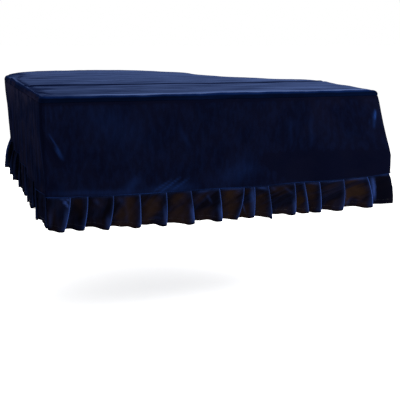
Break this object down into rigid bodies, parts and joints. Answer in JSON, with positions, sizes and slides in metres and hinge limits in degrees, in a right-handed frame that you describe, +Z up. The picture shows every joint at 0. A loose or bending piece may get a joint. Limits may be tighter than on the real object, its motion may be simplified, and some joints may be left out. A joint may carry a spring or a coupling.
{
  "type": "grand piano cover",
  "caption": "Fitted velvet cover for a grand piano: a harp-shaped top, upright sides hanging in soft folds, and a pleated frill along the hem.",
  "frame": {"origin": "underside of the top, 0.70 m back from its front edge and half-way across its width, where it lies on the instrument", "axes": "+Z up, -Y towards the front (keyboard) side, -X towards the straight side (spine), +X towards the curved side"},
  "size_m": [1.6756, 1.5798, 0.5472],
  "materials": {
    "velvet_top": "dark blue short-pile velvet, lying flat",
    "velvet_drop": "dark blue short-pile velvet, hanging",
    "velvet_frill": "dark blue short-pile velvet, pleated"
  },
  "bodies": {
    "root": {"top_front": "velvet_top", "top_main": "velvet_top", "drop_front": "velvet_drop", "drop_bentside": "velvet_drop", "drop_tail": "velvet_drop", "drop_spine": "velvet_drop", "ruffle_front": "velvet_frill", "ruffle_bentside": "velvet_frill", "ruffle_tail": "velvet_frill", "ruffle_spine": "velvet_frill"}
  },
  "joints": []
}
